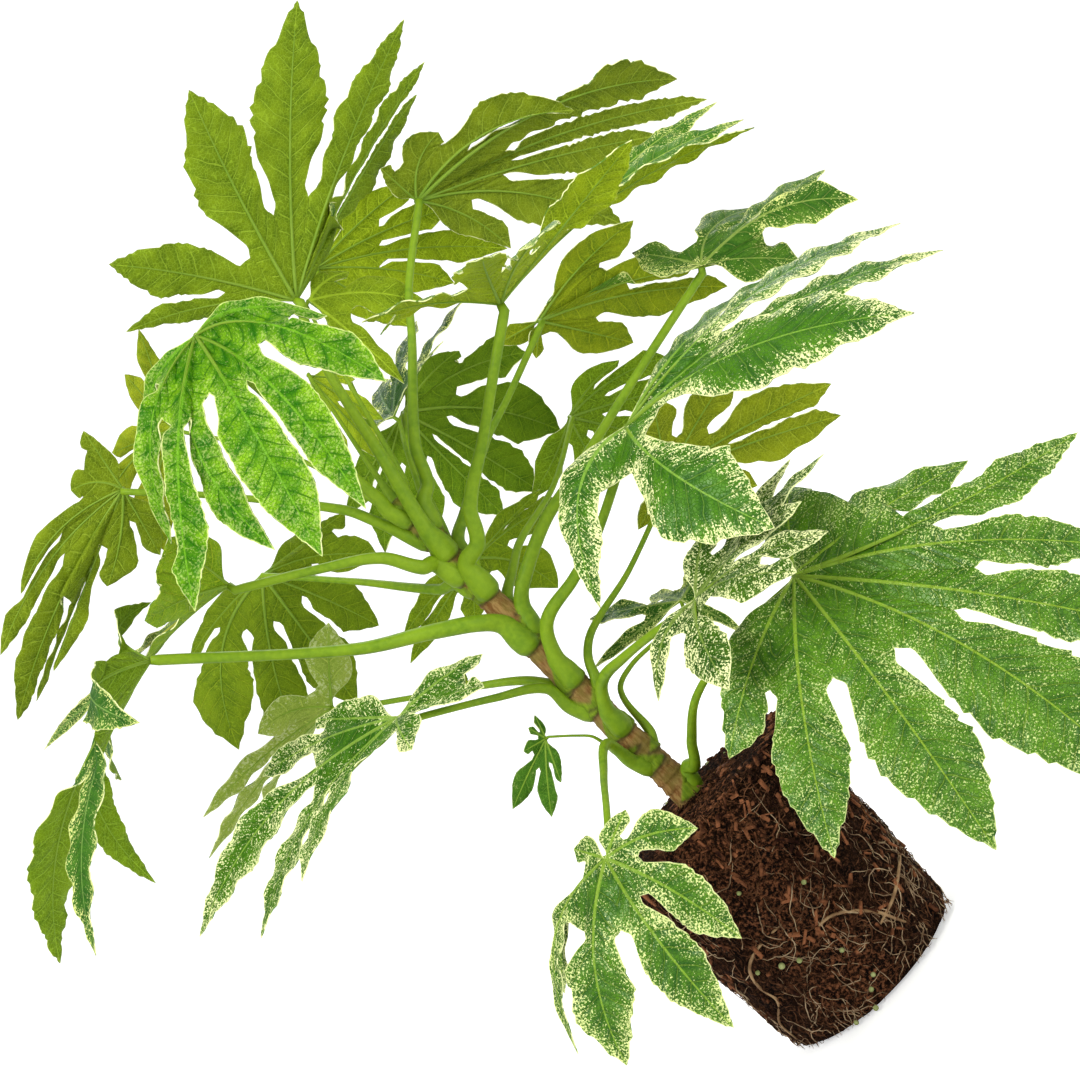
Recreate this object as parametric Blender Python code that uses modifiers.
"""Variegated fatsia on its bare root ball, standing upright.

Metres, +Z up. The origin is the centre of the root ball's flat base, and -Y is the plant's front.
Leaves are placed by landmarks: each is read in millimetres on the upright plane through the stem, as a
viewer in front of the plant sees it, and is then pushed to its own depth along the line of sight.
"""
import math

import bmesh
import bpy
from mathutils import Matrix, Vector, noise
from mathutils.geometry import interpolate_bezier, intersect_line_plane

MM = 0.001
GAP = 0.3 * MM                # clearance left where two solids meet

# Root ball: the soil of a 12 cm pot
BALL_HEIGHT = 112 * MM
BALL_TOP_RADIUS = 54 * MM
BALL_BASE_RADIUS = 48 * MM
BALL_SHOULDER = 5 * MM        # rounding under its top edge
BALL_FOOT = 3 * MM            # rounding over its base edge
BALL_SIDES = 40
BALL_RELIEF = 2.0 * MM        # how far lumps stand out of the soil
ROOT_RADIUS = 1.4 * MM
ROOT_SUNK = 2.4 * MM          # how deep the ends of a root dive into the soil
# Coarse roots on the ball's side: the turn in degrees and height in mm of points along each one
ROOTS = [
    [(-102, 56), (-118, 55), (-132, 50), (-139, 40), (-139, 30), (-152, 20), (-158, 8)],
    [(-100, 44), (-82, 43), (-66, 31), (-59, 20), (-50, 7)],
    [(-68, 25), (-52, 28), (-34, 33), (-14, 35)],
    [(10, 70), (22, 52), (14, 34), (28, 12)],
    [(60, 64), (48, 46), (62, 28), (54, 8)],
    [(95, 80), (112, 58), (100, 36), (120, 12)],
    [(150, 68), (138, 50), (152, 32), (142, 10)],
]

# Stem
STEM_FOOT = 92 * MM           # height of its lowest end, sunk in the soil
STEM_TOP = 303 * MM
STEM_RADIUS = 7.0 * MM
STEM_TOP_RADIUS = 5.5 * MM
STEM_RINGS = 18

# Leaves
BLADE_THICKNESS = 0.8 * MM
WEB_ROWS = 2                  # rows between the petiole and the cuts
TOOTH = 0.08                  # how far teeth change a lobe's width
CUT_SHARE = 0.38              # where a cut ends, as a share of the lobes beside it, if none is read
WIDEST = 0.42                 # where a lobe is widest, from its cut to its tip
NECK = 0.72                   # width of a lobe just past its cut, as a share of the width at the cut
SHEATH = 4.4                  # length of a petiole's foot that hugs the stem, in its radii

# Viewer: the landmarks below are read from here
EYE_DISTANCE = 900 * MM
EYE = Vector((31.5 * MM, -EYE_DISTANCE, 244 * MM))
DATUM = 8 * MM                # heights are read from the lowest root end, this far under the base

# Colours of the photo: red, green, blue and roughness
FINISHES = {
    "speckled": (0.20, 0.42, 0.12, 0.5),
    "bright": (0.16, 0.42, 0.05, 0.35),
    "olive": (0.17, 0.25, 0.02, 0.6),
    "young": (0.33, 0.34, 0.05, 0.6),
    "petiole": (0.18, 0.40, 0.04, 0.45),
    "bark": (0.30, 0.21, 0.10, 0.8),
    "soil": (0.05, 0.025, 0.015, 0.95),
}

# name: (finish, hub, foot, stalk, radius at the foot, lobes, cuts, rows).
# foot is the petiole's turn round the stem, in degrees from +X, and its height. stalk lists points that
# the petiole passes, and hub is where it meets the lobes. A lobe is the x, height and depth of its tip,
# half its width, its bow, which is the rise of its middle as a share of its length, and for some its
# sweep, which is the shift of its middle towards the next lobe, and its turn on its midrib in degrees.
# cuts lists the ends of the cuts between lobes, where they can be read; None leaves a cut at its usual
# place.
LEAVES = {
    "crown": (
        "olive", (30, 406, 0), (-85, 274), [(8, 330, -9), (17, 370, -7), (26, 396, -3)], 3.8,
        [(67, 414, 45, 5, 0), (134, 433, 58, 10, 0.04, 0, -40), (147, 441, 30, 9, 0.04, 0, -30),
         (154, 461, -4, 12, 0.04), (126, 501, -28, 19, 0.04), (63, 507, -50, 19, 0.04),
         (-18, 477, -45, 14, 0.04, -0.02), (-34, 450, -25, 7, 0.02, -0.06)],
        [(62, 414), (68, 422), (74, 427), (67, 435), (50, 440), (29, 434), (10, 431)], 5),
    "front_high": (
        "bright", (-13, 427, -70), (-145, 297), [(-7, 316, -8), (-8, 340, -17), (-10, 385, -44)], 2.8,
        [(35, 391, -78, 6, 0.22, -0.06), (33, 351, -105, 14, 0.20, -0.09), (-14, 317, -118, 13, 0.13, -0.09),
         (-43, 316, -120, 19, 0.11, -0.05), (-56, 333, -108, 12, 0.12, 0.10),
         (-101, 339, -104, 15, 0.13, -0.03, -30), (-87, 368, -74, 9, 0.20, 0.05, -20),
         (-65, 410, -52, 6, 0.12, 0.04)],
        [(22, 403), (4, 404), (-11, 396), (-27, 404), (-41, 402), (-50, 411), None], 5),
    "right_high": (
        "olive", (100, 399, 40), (2, 287), [(14, 306, 3), (22, 322, 6), (55, 357, 16), (70, 374, 23)], 3.2,
        [(99, 421, 32, 5, 0), (129, 414, 38, 10, 0, -0.14), (179, 378, 52, 14, 0.03, -0.13),
         (222, 355, 86, 20, 0.05, -0.12), (225, 339, 94, 11, 0.05, -0.04), (198, 343, 84, 11, 0.05, -0.02),
         (158, 326, 84, 13, 0.05, -0.09), (115, 354, 60, 9, 0.03, -0.09)],
        [(105, 415), (124, 410), (132, 399), (144, 387), (143, 382), (136, 380), (118, 382)], 5),
    "left_high": (
        "olive", (-85, 401, 15), (172, 284), [(-14, 308, 1), (-22, 325, 3), (-60, 372, 10)], 2.7,
        [(-79, 432, 4, 5, 0), (-102, 417, 10, 7, 0, -0.16), (-151, 400, 22, 6, 0.02, -0.11),
         (-177, 387, 30, 7, 0.03, -0.07), (-192, 361, 42, 11, 0.03, -0.04), (-180, 361, 50, 5, 0.02),
         (-165, 365, 42, 7, 0.02), (-121, 375, 32, 12, 0, 0.05), (-94, 368, 32, 8, 0)],
        [(-85, 424), (-100, 411), (-117, 407), (-124, 399), (-138, 386), (-119, 390),
         (-110, 391), None], 4),
    "young_left": (
        "young", (-50, 404, 34), (128, 290), [(-10, 322, 15), (-22, 360, 25)], 1.7,
        [(-29, 447, 26, 6, 0), (-48, 437, 22, 6, 0), (-77, 416, 26, 8, 0.05), (-99, 400, 34, 7, 0, -0.1),
         (-91, 366, 44, 10, 0.05, -0.1)],
        None, 3),
    "young_centre": (
        "young", (10, 378, 12), (100, 306), [(1, 330, 9), (6, 355, 10)], 1.5,
        [(24, 362, 16, 4, 0.05), (20, 340, 14, 5, 0.05), (8, 325, 15, 6, 0.05), (-5, 338, 13, 5, 0.05)],
        None, 3),
    "back_high": (
        "olive", (46, 410, 62), (66, 298), [(9, 328, 24), (25, 372, 46)], 2.2,
        [(106, 407, 70, 10, 0, -0.03), (109, 386, 78, 9, 0, -0.04), (114, 355, 90, 9, 0.03, -0.05),
         (86, 361, 84, 10, 0.03, -0.05), (58, 361, 76, 9, 0)],
        [(80, 403), (74, 397), (67, 390), None], 4),
    "small_crown": (
        "olive", (34, 402, 16), (20, 307), [(12, 330, 5), (24, 375, 12)], 1.5,
        [(38, 345, 8, 6, 0, 0.03), (71, 362, 36, 11, 0.05, 0.06), (56, 398, 32, 5, 0.05, 0.08)],
        None, 3),
    "left_shoulder": (
        "speckled", (-82, 337, -26), (-152, 262), [(-15, 281, -10), (-25, 297, -13), (-48, 313, -18)], 3.6,
        [(-86, 371, -60, 13, 0), (-120, 352, -64, 14, 0.05), (-158, 333, 22, 8, 0.05),
         (-193, 343, 50, 6, 0.03), (-118, 346, 52, 8, 0.04)],
        [(-101, 364), None, None, None], 4),
    "left_far": (
        "speckled", (-131, 338, -22), (-120, 219), [(-16, 246, -12), (-32, 257, -12), (-62, 276, -10)], 4.2,
        [(-112, 356, 18, 8, 0.3), (-154, 321, -88, 13, 0.32), (-242, 261, -42, 12, 0.12, 0, -25),
         (-256, 270, -6, 14, 0.12, 0, 25), (-200, 265, 24, 9, 0.25, 0.04, 45),
         (-178, 309, 34, 12, 0.14, 0, 30), (-192, 343, 38, 3, 0.05)],
        None, 5),
    "left_back": (
        "olive", (-68, 329, 60), (148, 254), [(-16, 268, 8), (-40, 297, 34)], 2.6,
        [(-119, 325, 94, 7, 0.06, -0.04), (-131, 281, 92, 19, 0.08, -0.17),
         (-111, 261, 86, 14, 0.08, -0.05),
         (-79, 258, 82, 15, 0.08), (-47, 276, 84, 12, 0.08, 0.02), (-25, 298, 90, 9, 0.08, 0.08),
         (-22, 323, 98, 6, 0.06)],
        [(-98, 326), (-90, 317), (-79, 311), (-62, 310), (-49, 317), (-32, 321)], 4),
    "left_mid_front": (
        "speckled", (-70, 241, -25), (-172, 178), [(-14, 203, -5), (-33, 216, -12), (-58, 231, -20)], 2.8,
        [(-23, 234, -32, 8, 0.05), (-33, 223, -48, 7, 0.05), (-76, 226, -56, 12, 0.12),
         (-153, 219, -56, 12, 0.08, 0.05), (-184, 214, -38, 12, 0.08, 0.05),
         (-203, 234, -16, 12, 0.08, 0.04),
         (-132, 265, 4, 9, 0.04, 0.03), (-97, 266, 2, 11, 0)],
        [(-38, 230), None, (-88, 238), None, None, (-112, 251), (-98, 260)], 4),
    "left_mid_back": (
        "speckled", (-88, 265, 40), (155, 192), [(-18, 212, 8), (-33, 224, 15), (-60, 243, 28)], 2.3,
        [(-62, 293, 38, 11, 0.05), (-120, 280, 30, 9, 0.08, -0.1), (-164, 271, 42, 6, 0.08),
         (-175, 256, 58, 7, 0.08), (-143, 255, 76, 8, 0.08)],
        None, 4),
    "tiny_left": (
        "olive", (-30, 187, -15), (-160, 154), [(-14, 172, -12), (-19, 178, -14)], 1.0,
        [(-26, 198, -12, 2.5, 0), (-32, 196, -17, 2.5, 0), (-41, 190, -21, 3.5, 0),
         (-63, 175, -26, 5, 0.05),
         (-53, 160, -28, 5, 0.05), (-39, 168, -22, 3.5, 0)],
        None, 3),
    "low_left": (
        "speckled", (-49, 130, -100), (-140, 142), [(-12, 166, -18), (-22, 158, -42), (-34, 144, -82)], 2.6,
        [(-27, 139, -92, 7, 0.03), (-10, 110, -104, 11, 0.08, -0.08), (-31, 61, -116, 13, 0.1, -0.06),
         (-62, 35, -122, 14, 0.1), (-108, 57, -112, 18, 0.1, 0.07), (-120, 76, -90, 6, 0.12, 0.25),
         (-105, 100, -70, 8, 0.1, 0.09), (-56, 143, -88, 9, 0)],
        [None, (-38, 120), (-50, 107), (-67, 102), (-79, 113), None, None], 5),
    "low_right": (
        "speckled", (101, 160, -80), (-25, 122), [(9, 131, -8), (16, 140, -16), (33, 153, -40),
         (68, 159, -64)],
        2.6,
        [(22, 122, -100, 15, 0.05, -0.03), (24, 57, -135, 18, 0.06, -0.02), (78, 8, -152, 24, 0.06, 0.01),
         (146, -26, -156, 29, 0.06, 0.055), (200, 28, -142, 18, 0.06, 0), (214, 65, -125, 13, 0.06, 0.035),
         (237, 115, -104, 13, 0.06, -0.07), (193, 141, -86, 12, 0.05, 0.01), (127, 190, -50, 12, 0.05)],
        [(57, 131), (81, 115), (110, 105), (141, 98), (161, 105), (161, 132), (150, 158), (136, 178)], 6),
    "low_mid": (
        "speckled", (62, 184, -88), (-75, 163), [(6, 187, -18), (20, 188, -40), (45, 185, -74)], 3.2,
        [(18, 163, -96, 6, 0.2), (44, 144, -118, 14, 0.15), (103, 160, -128, 14, 0.12),
         (126, 163, -116, 10, 0.1), (127, 181, -104, 9, 0.06), (149, 189, -88, 6, 0.04),
         (137, 198, -74, 5, 0.02), (90, 204, -70, 7, 0.05)],
        [(44, 179), (59, 178), (96, 176), None, None, None, None], 4),
    "low_back": (
        "olive", (57, 188, 25), (20, 148), [(9, 178, 8), (20, 183, 12), (38, 183, 18)], 1.8,
        [(8, 194, 30, 4, 0.02), (22, 211, 45, 8, 0.02), (35, 202, 58, 5, 0.02),
         (49, 199, 66, 5, 0.02), (84, 191, 48, 8, 0.05), (67, 157, 10, 4, 0.05)],
        None, 3),
    "right_front": (
        "speckled", (95, 261, -55), (-70, 194), [(8, 224, -16), (30, 229, -26), (52, 236, -37)], 3.6,
        [(29, 211, -72, 12, 0.22, -0.08), (110, 181, -112, 28, 0.12, -0.07), (223, 205, -106, 24, 0.13),
         (252, 216, -72, 12, 0.11), (247, 238, -45, 13, 0.12), (217, 250, -18, 13, 0.13)],
        [(70, 247), (111, 256), None, None, None], 6),
    "right_far": (
        "speckled", (170, 288, -6), (-8, 222), [(13, 244, -4), (38, 256, -6), (60, 261, -7),
         (120, 275, -8)], 3.4,
        [(159, 294, -12, 4, 0), (203, 258, -10, 15, 0.1, -0.05), (241, 259, -10, 13, 0.08, 0.08),
         (240, 279, 10, 10, 0.05), (206, 289, 26, 14, 0.08, 0.14), (152, 314, 10, 15, 0, -0.04)],
        [None, (200, 279), None, None, (176, 297)], 4),
    "right_mid_back": (
        "olive", (93, 232, 36), (-15, 180), [(10, 200, 1), (20, 207, 7), (50, 214, 20)], 2.2,
        [(66, 224, 34, 7, 0.03), (113, 262, 22, 12, 0.03), (152, 246, 40, 10, 0.05),
         (174, 209, 58, 12, 0.06),
         (167, 196, 64, 12, 0.05), (118, 200, 56, 10, 0.05)],
        None, 3),
    "right_back_high": (
        "olive", (101, 322, 38), (25, 266), [(15, 284, 9), (47, 301, 22), (65, 307, 27)], 2.8,
        [(80, 328, 32, 6, 0), (163, 324, 48, 9, 0.03, -0.04), (166, 290, 58, 10, 0.06, -0.04),
         (172, 273, 72, 12, 0.06, -0.04), (124, 285, 60, 10, 0.05), (88, 311, 42, 5, 0)],
        [None, (137, 320), (143, 311), (120, 305), (101, 315)], 4),
    "right_high_side": (
        "speckled", (94, 340, -15), (-65, 249), [(11, 271, -13), (20, 285, -14), (45, 302, -15),
         (70, 320, -16)],
        4.2,
        [(46, 368, -30, 9, 0.18), (44, 378, -50, 10, 0.07), (103, 360, -108, 16, 0.05),
         (138, 347, -112, 14, 0.05),
         (188, 350, -62, 14, 0, 0, -30), (231, 315, -34, 10, 0.08), (230, 321, 2, 10, 0.08, 0, 20),
         (227, 335, 34, 9, 0.05, 0, 20)],
        None, 4),
    "back_centre": (
        "olive", (28, 336, 88), (88, 262), [(5, 288, 26), (16, 318, 58)], 2.4,
        [(66, 338, 104, 8, 0, -0.06), (87, 316, 116, 12, 0.05, -0.08), (73, 280, 112, 17, 0.08, -0.09),
         (47, 267, 108, 15, 0.08, -0.03), (28, 271, 102, 13, 0.08), (2, 288, 98, 10, 0.08),
         (-22, 297, 98, 8, 0.08, 0.04), (-22, 322, 100, 8, 0.05)],
        [(62, 334), (51, 325), (41, 321), (31, 320), None, None, None], 4),
    "back_dark": (
        "olive", (24, 338, 58), (78, 282), [(9, 306, 24), (18, 324, 42)], 1.8,
        [(64, 346, 34, 4, 0.05), (90, 353, 62, 5, 0.05), (62, 361, 92, 8, 0.05), (30, 352, 110, 8, 0.05),
         (4, 345, 84, 6, 0.05)],
        None, 3),
    "back_right": (
        "olive", (80, 282, 84), (48, 234), [(13, 251, 12), (25, 258, 24), (53, 265, 46)], 2.3,
        [(42, 268, 94, 8, 0.04, 0.06), (72, 256, 100, 10, 0.04), (98, 252, 106, 13, 0.04),
         (122, 258, 104, 12, 0.04),
         (130, 270, 96, 10, 0.04, 0.06), (114, 284, 90, 7, 0, 0.06)],
        None, 3),
    "back_stem": (
        "olive", (5, 267, 50), (105, 230), [(-4, 246, 24), (-2, 255, 38)], 1.8,
        [(-42, 265, 56, 7, 0.04, -0.03), (-49, 254, 64, 6, 0.04), (-16, 246, 66, 7, 0.04),
         (22, 231, 70, 11, 0.05, 0.1),
         (52, 257, 72, 8, 0.05, 0.03), (48, 268, 62, 6, 0.04)],
        None, 3),
}


def along_sight(x, height, depth):
    """The point seen at x, height on the stem's plane and lying this deep behind it, all in mm."""
    seen = Vector((x * MM, 0, height * MM - DATUM))
    reach = (EYE_DISTANCE + depth * MM) / EYE_DISTANCE
    return EYE + (seen - EYE) * reach


def sight_scale(depth):
    """Real size of what is seen one millimetre wide at this depth."""
    return MM * (EYE_DISTANCE + depth * MM) / EYE_DISTANCE


def stem_centre(height):
    """The stem leans slightly left at mid height."""
    share = (height - STEM_FOOT) / (STEM_TOP - STEM_FOOT)
    return Vector((-1 * MM - 2.5 * MM * math.sin(math.pi * share), 0, height))


def stem_radius(height):
    share = (height - STEM_FOOT) / (STEM_TOP - STEM_FOOT)
    return STEM_RADIUS + (STEM_TOP_RADIUS - STEM_RADIUS) * share


def smooth(share):
    share = min(max(share, 0), 1)
    return share * share * (3 - 2 * share)


def lobe_width(share, neck, widest):
    """Half the width of a lobe, from the end of its cut (share 0) to its tip (share 1)."""
    if share < WIDEST:
        return neck + (widest - neck) * smooth(share / WIDEST)
    return widest * (1 - ((share - WIDEST) / (1 - WIDEST)) ** 1.5)


def tooth(row, rows):
    """Every other row stands out, from the widest row to the one before the tip."""
    if row < 2 or row >= rows:
        return 1
    return 1 + TOOTH if row % 2 else 1 - TOOTH


class Lobe:
    """The midrib of one lobe: an arched curve from the hub to the tip, and the way across it."""

    def __init__(self, hub, tip, width, rise):
        self.hub = hub
        self.tip = tip
        self.width = width
        self.crest = (hub + tip) / 2 + rise * 2
        self.length = (tip - hub).length
        self.heading = (tip - hub).normalized()
        self.across = None

    def at(self, share):
        rest = 1 - share
        return self.hub * rest ** 2 + self.crest * 2 * rest * share + self.tip * share ** 2

    def side(self, share):
        ahead = ((self.crest - self.hub) * (1 - share) + (self.tip - self.crest) * share).normalized()
        return (self.across - ahead * self.across.dot(ahead)).normalized()

    def nearest(self, point):
        """The share of the midrib that lies level with a point beside it."""
        steps = [step / 40 for step in range(1, 36)]
        return min(steps, key=lambda share: (self.at(share) - point).length)


def read_lobes(hub, landmarks):
    """The lobes of one leaf, and the way its upper face looks."""
    tips = [along_sight(*mark[:3]) for mark in landmarks]
    headings = [(tip - hub).normalized() for tip in tips]
    upper = Vector()
    for left, right in zip(headings, headings[1:]):
        upper += left.cross(right)
    upper = upper.normalized() * (1 if upper.z > 0 else -1)
    lobes = []
    for mark, tip in zip(landmarks, tips):
        rise = upper * mark[4] * (tip - hub).length
        lobes.append(Lobe(hub, tip, mark[3] * sight_scale(mark[2]), rise))
    for index, lobe in enumerate(lobes):
        before = headings[max(index - 1, 0)]
        after = headings[min(index + 1, len(headings) - 1)]
        spread = after - before
        sweep, roll = (*landmarks[index][5:], 0, 0)[:2]
        level = (spread - lobe.heading * spread.dot(lobe.heading)).normalized()
        lobe.across = Matrix.Rotation(math.radians(roll), 3, lobe.heading) @ level
        lobe.crest += level * sweep * 2 * lobe.length
    return lobes, upper


def on_stem_plane(point):
    """Where the viewer sees a point, on the upright plane through the stem."""
    sight = point - EYE
    return EYE + sight * (EYE_DISTANCE / sight.y)


def room_beside(lobe, beside, share, seen_apart):
    """A lobe's part of the space from its midrib to its neighbour's, so that their edges keep clear."""
    part = lobe.width / (lobe.width + beside.width)
    point = lobe.at(share)
    room = part * (beside.at(beside.nearest(point)) - point).length
    if seen_apart:
        here = on_stem_plane(point)
        near = min((on_stem_plane(beside.at(step / 40)) - here).length for step in range(1, 41))
        spread = (on_stem_plane(point + lobe.side(share) * MM) - here).length / MM
        room = min(room, part * near / max(spread, 0.3))
    return room - 0.6 * MM


def cut_end(hub, left, right, read):
    """Where the cut between two lobes ends: as read, in the plane of both, or at its usual share."""
    middle = (left.at(CUT_SHARE) + right.at(CUT_SHARE)) / 2
    if read is None:
        return middle
    face = (left.tip - hub).cross(right.tip - hub)
    target = along_sight(read[0], read[1], 0)
    if abs(face.normalized().dot((target - EYE).normalized())) < 0.12:
        return along_sight(read[0], read[1], middle.y / MM)
    flat = intersect_line_plane(EYE, target, hub, face)
    share = min((flat - hub).length / ((left.length + right.length) / 2), 0.8)
    bow = ((left.at(share) + right.at(share)) / 2) - hub.lerp((left.tip + right.tip) / 2, share)
    return intersect_line_plane(EYE, target, hub + bow, face)


def blade_points(lobes, cuts, reads, rows):
    """Rows of left edge, midrib and right edge points for each lobe, from the hub outwards."""
    strips = []
    last = WEB_ROWS + rows
    for index, lobe in enumerate(lobes):
        ends = [cuts[index - 1] if index > 0 else None, cuts[index] if index < len(cuts) else None]
        levels = [lobe.nearest(end) for end in ends if end is not None]
        web = sum(levels) / len(levels)
        strip = []
        for row in range(last + 1):
            beyond = max(row - WEB_ROWS, 0) / rows
            share = web * row / WEB_ROWS if row <= WEB_ROWS else web + (1 - web) * beyond
            line = [lobe.at(share)]
            for way, end in zip((-1, 1), ends):
                if end is None:
                    reach = row / last
                    width = lobe.width * lobe_width(min(reach / 0.95, 1), 0.25, 1) * tooth(row, last)
                    width *= smooth(reach / 0.3)
                    point = lobe.at(reach) + lobe.side(reach) * width * way
                elif row <= WEB_ROWS:
                    point = lobe.hub.lerp(end, row / WEB_ROWS)
                else:
                    level = lobe.nearest(end)
                    reach = level + (1 - level) * beyond
                    neck = (end - lobe.at(level)).length * NECK
                    width = lobe_width(beyond, neck, lobe.width) * tooth(row, last)
                    seen_apart = reads[index + min(way, 0)] is not None
                    width = min(width, room_beside(lobe, lobes[index + way], reach, seen_apart))
                    point = lobe.at(reach) + lobe.side(reach) * width * way
                line.insert(0 if way < 0 else len(line), point)
            strip.append(line)
        strips.append(strip)
    return strips


def blade_surface(strips):
    """One open triangulated surface through all the strips."""
    shape = bmesh.new()
    for strip in strips:
        grid = [[shape.verts.new(point) for point in line] for line in strip[:-1]]
        tip = shape.verts.new(strip[-1][1])
        for near, far in zip(grid, grid[1:]):
            for column in (0, 1):
                shape.faces.new((near[column], near[column + 1], far[column + 1], far[column]))
        for column in (0, 1):
            shape.faces.new((grid[-1][column], grid[-1][column + 1], tip))
    bmesh.ops.remove_doubles(shape, verts=shape.verts, dist=0.02 * MM)
    bmesh.ops.triangulate(shape, faces=shape.faces)
    bmesh.ops.recalc_face_normals(shape, faces=shape.faces)
    return shape


def new_object(name, mesh, collection, finish=None):
    thing = bpy.data.objects.new(name, mesh)
    collection.objects.link(thing)
    if finish:
        thing.data.materials.append(finish)
    return thing


def as_mesh(thing):
    """The object's evaluated shape as a plain mesh object of the same name, welded shut."""
    bpy.context.view_layer.update()
    evaluated = thing.evaluated_get(bpy.context.evaluated_depsgraph_get())
    mesh = bpy.data.meshes.new_from_object(evaluated)
    name = thing.name
    collection = thing.users_collection[0]
    bpy.data.objects.remove(thing)
    shape = bmesh.new()
    shape.from_mesh(mesh)
    bmesh.ops.remove_doubles(shape, verts=shape.verts, dist=0.01 * MM)
    bmesh.ops.recalc_face_normals(shape, faces=shape.faces)
    shape.to_mesh(mesh)
    shape.free()
    return new_object(name, mesh, collection)


def keep_largest(thing):
    """Drops loose scraps that a cut left behind."""
    shape = bmesh.new()
    shape.from_mesh(thing.data)
    rest = set(shape.verts)
    bodies = []
    while rest:
        body = set()
        edge = {rest.pop()}
        while edge:
            vert = edge.pop()
            body.add(vert)
            for link in vert.link_edges:
                other = link.other_vert(vert)
                if other not in body:
                    edge.add(other)
        rest -= body
        bodies.append(body)
    bodies.sort(key=len)
    for scrap in bodies[:-1]:
        bmesh.ops.delete(shape, geom=list(scrap), context="VERTS")
    shape.to_mesh(thing.data)
    shape.free()


def tube(name, points, radii, collection, sides=1):
    """A round tube with filled ends along a path; sides is the bevel resolution."""
    curve = bpy.data.curves.new(name, "CURVE")
    curve.dimensions = "3D"
    curve.bevel_depth = 1
    curve.bevel_resolution = sides
    curve.use_fill_caps = True
    spline = curve.splines.new("POLY")
    spline.points.add(len(points) - 1)
    for knot, point, radius in zip(spline.points, points, radii):
        knot.co = (*point, 1)
        knot.radius = radius
    return as_mesh(new_object(name, curve, collection))


def combine(thing, other, operation):
    step = thing.modifiers.new(operation.lower(), "BOOLEAN")
    step.operation = operation
    step.solver = "EXACT"
    step.object = other


def finish_cuts(thing, finish):
    name = thing.name
    solid = as_mesh(thing)
    solid.name = name
    keep_largest(solid)
    solid.data.materials.clear()
    solid.data.materials.append(finish)
    solid.data.shade_smooth()
    solid.data.set_sharp_from_angle(angle=math.radians(40))
    return solid


def curve_through(points, steps):
    """Points on a smooth curve that passes all the given points."""
    path = []
    last = len(points) - 1
    for index in range(last):
        start, end = points[index], points[index + 1]
        before = points[index - 1] if index else start - (end - start)
        after = points[index + 2] if index + 2 <= last else end + (end - start)
        span = (end - start).length / 3
        lead = start + (end - before).normalized() * span
        trail = end - (after - start).normalized() * span
        path.extend(interpolate_bezier(start, lead, trail, end, steps + 1)[:-1])
    path.append(points[-1])
    return path


def petiole_path(foot, stalk, radius, hub, upper):
    """From inside the stem, up along it as a clasping foot, then out to the underside of the hub."""
    turn = math.radians(foot[0])
    outward = Vector((math.cos(turn), math.sin(turn), 0))
    low = foot[1] * MM - DATUM
    hug = SHEATH * radius * MM
    points = []
    for rise, out in ((0, -1.5 * MM), (hug * 0.4, 0), (hug, 2.5 * MM)):
        height = low + rise
        points.append(stem_centre(height) + outward * (stem_radius(height) + out))
    points.extend(along_sight(*mark) for mark in stalk)
    points.append(hub - upper * 4 * MM)
    return curve_through(points, 2) + [hub - upper * (BLADE_THICKNESS / 2 + GAP)]


def petiole_radii(path, radius):
    """Swollen over the foot, slim above it, a little wider again under the blade."""
    lengths = [0]
    for start, end in zip(path, path[1:]):
        lengths.append(lengths[-1] + (end - start).length)
    radii = []
    for length in lengths:
        share = length / lengths[-1]
        swell = 1 + 0.22 * math.exp(-((length - 9 * MM) / (9 * MM)) ** 2)
        slim = 1 - 0.42 * smooth(share / 0.7)
        radii.append(radius * MM * swell * slim)
    radii[0] *= 0.45
    radii[-1] = 0.7 * MM
    return radii


def make_material(name):
    red, green, blue, roughness = FINISHES[name]
    finish = bpy.data.materials.new(name)
    finish.use_nodes = True
    surface = finish.node_tree.nodes["Principled BSDF"]
    surface.inputs["Base Color"].default_value = (red, green, blue, 1)
    surface.inputs["Roughness"].default_value = roughness
    surface.inputs["Metallic"].default_value = 0
    finish.diffuse_color = (red, green, blue, 1)
    return finish


def make_blade(name, plan, plant, finishes):
    """The blade as a thin solid. Returns its hub and the way its upper face looks."""
    kind, hub_mark, _, _, _, landmarks, reads, rows = plan
    hub = along_sight(*hub_mark)
    lobes, upper = read_lobes(hub, landmarks)
    reads = reads or [None] * (len(lobes) - 1)
    cuts = [cut_end(hub, left, right, read) for left, right, read in zip(lobes, lobes[1:], reads)]
    shape = blade_surface(blade_points(lobes, cuts, reads, rows))
    mesh = bpy.data.meshes.new(f"{name}_blade")
    shape.to_mesh(mesh)
    shape.free()
    blade = new_object(f"{name}_blade", mesh, plant, finishes[kind])
    wall = blade.modifiers.new("thickness", "SOLIDIFY")
    wall.thickness = BLADE_THICKNESS
    wall.offset = 0
    return hub, upper


def make_stem(plant, cutters, finish):
    """A tapered stem with a low swelling at each leaf scar, and its cutters."""
    heights = [STEM_FOOT + (STEM_TOP - STEM_FOOT) * step / (STEM_RINGS - 1) for step in range(STEM_RINGS)]
    points = [stem_centre(height) for height in heights]
    radii = [stem_radius(height) * (1.05 if step % 2 else 0.97) for step, height in enumerate(heights)]
    radii[-1] *= 0.6
    stem = tube("stem", points, radii, plant, sides=4)
    stem.data.materials.append(finish)
    stem.data.shade_smooth()
    stem.data.set_sharp_from_angle(angle=math.radians(40))
    wide = [radius + GAP for radius in radii]
    tall = [points[0] - Vector((0, 0, GAP))] + points + [points[-1] + Vector((0, 0, GAP))]
    cutter = tube("stem_clearance", tall, [wide[0]] + wide + [wide[-1]], cutters, sides=4)
    return stem, cutter


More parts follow.
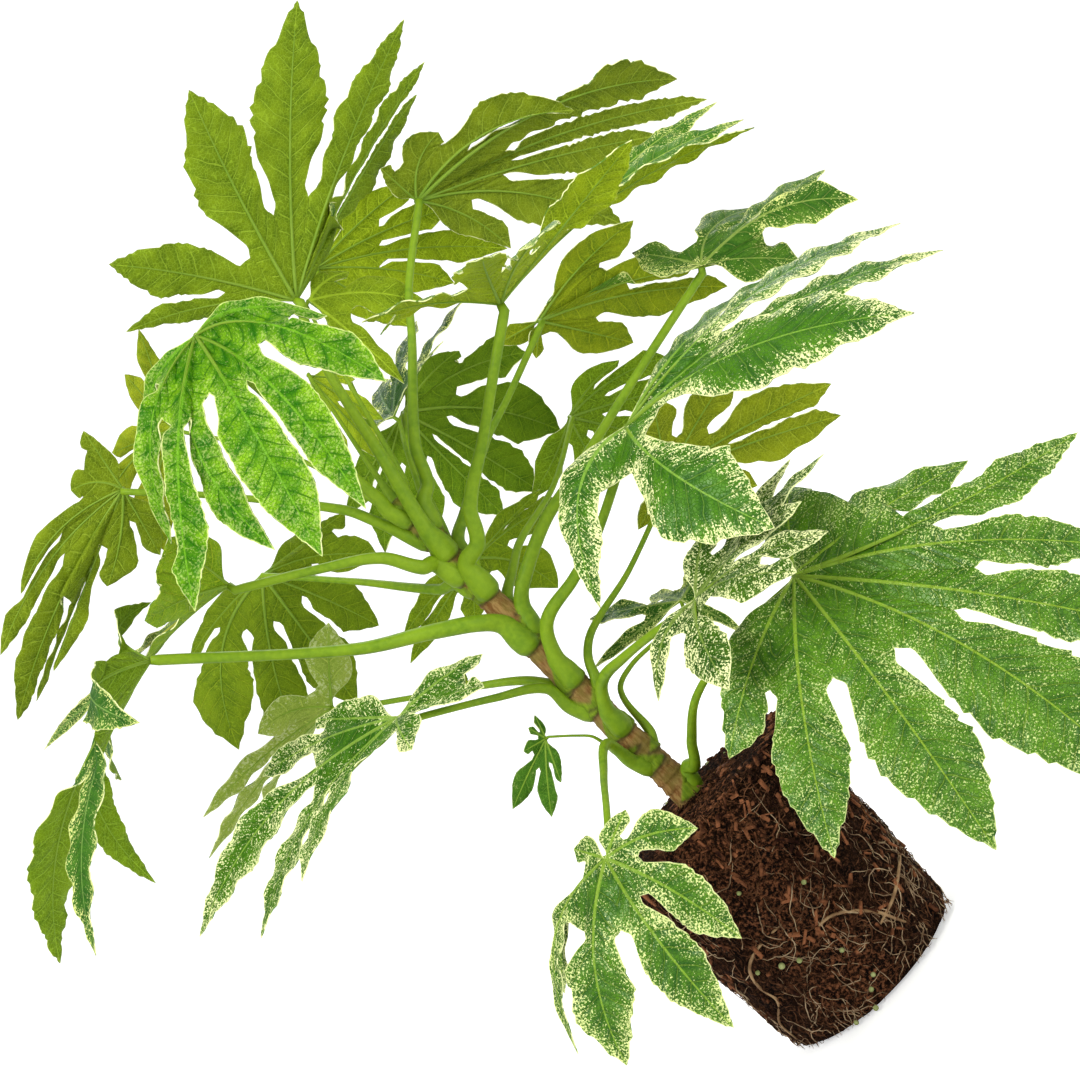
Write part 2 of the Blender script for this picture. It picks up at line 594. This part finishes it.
def ball_radius(height):
    """The radius of the ball's side, which tapers towards its base."""
    share = (BALL_HEIGHT - BALL_SHOULDER - height) / (BALL_HEIGHT - BALL_SHOULDER - BALL_FOOT)
    return BALL_TOP_RADIUS + (BALL_BASE_RADIUS - BALL_TOP_RADIUS) * share


def ball_profile():
    """Half the root ball's outline at +X, from its top centre down its side to its base centre."""
    side = []
    for step in range(9):
        height = BALL_HEIGHT - BALL_SHOULDER + (BALL_FOOT + BALL_SHOULDER - BALL_HEIGHT) * step / 8
        side.append((ball_radius(height), height))
    top = [(0, BALL_HEIGHT - 2 * MM), (14 * MM, BALL_HEIGHT - 1 * MM), (30 * MM, BALL_HEIGHT + 1 * MM),
           (44 * MM, BALL_HEIGHT + 1 * MM), (51 * MM, BALL_HEIGHT - 1 * MM)]
    base = [(BALL_BASE_RADIUS - 3 * MM, 0), (0, 0)]
    return top + side + base


def make_roots(cutters):
    """Roots that wander down the side of the ball, half sunk in it."""
    roots = []
    for index, marks in enumerate(ROOTS):
        points = []
        for turn, height in marks:
            radius = ball_radius(height * MM)
            if (turn, height) in (marks[0], marks[-1]):
                radius -= ROOT_SUNK
            angle = math.radians(turn)
            points.append(Vector((math.cos(angle) * radius, math.sin(angle) * radius, height * MM)))
        path = curve_through(points, 2)
        radii = [ROOT_RADIUS * (1 - 0.5 * step / len(path)) for step in range(len(path))]
        roots.append(tube(f"root_{index}", path, radii, cutters, sides=0))
    return roots


def make_ball(plant, cutters, finish, holes):
    profile = bmesh.new()
    line = [profile.verts.new((radius, 0, height)) for radius, height in ball_profile()]
    for start, end in zip(line, line[1:]):
        profile.edges.new((start, end))
    mesh = bpy.data.meshes.new("root_ball")
    profile.to_mesh(mesh)
    profile.free()
    ball = new_object("root_ball", mesh, plant)
    turn = ball.modifiers.new("turn", "SCREW")
    turn.steps = BALL_SIDES
    turn.render_steps = BALL_SIDES
    turn.use_merge_vertices = True
    turn.merge_threshold = 0.0001
    ball = as_mesh(ball)
    for vert in ball.data.vertices:
        place = vert.co
        if place.z < 1 * MM:
            continue
        outward = Vector((place.x, place.y, 0)).normalized()
        lump = noise.noise(place * 55) * BALL_RELIEF + noise.noise(place * 160) * BALL_RELIEF * 0.6
        if place.z > BALL_HEIGHT - 4 * MM:
            vert.co.z += lump
        else:
            vert.co += outward * lump
    ball.data.materials.append(finish)
    for root in make_roots(cutters):
        combine(ball, root, "UNION")
    for hole in holes:
        combine(ball, hole, "DIFFERENCE")
    return finish_cuts(ball, finish)


def main():
    for thing in list(bpy.data.objects):
        bpy.data.objects.remove(thing)
    plant = bpy.data.collections.new("variegated_fatsia")
    cutters = bpy.data.collections.new("cutters")
    bpy.context.scene.collection.children.link(plant)
    bpy.context.scene.collection.children.link(cutters)
    finishes = {name: make_material(name) for name in FINISHES}
    stem, stem_cutter = make_stem(plant, cutters, finishes["bark"])
    for name, plan in LEAVES.items():
        hub, upper = make_blade(name, plan, plant, finishes)
        path = petiole_path(plan[2], plan[3], plan[4], hub, upper)
        petiole = tube(f"{name}_petiole", path, petiole_radii(path, plan[4]), plant)
        combine(petiole, stem_cutter, "DIFFERENCE")
        finish_cuts(petiole, finishes["petiole"])
    make_ball(plant, cutters, finishes["soil"], [stem_cutter])
    for cutter in cutters.objects:
        cutter.hide_render = True
        cutter.display_type = "WIRE"


main()
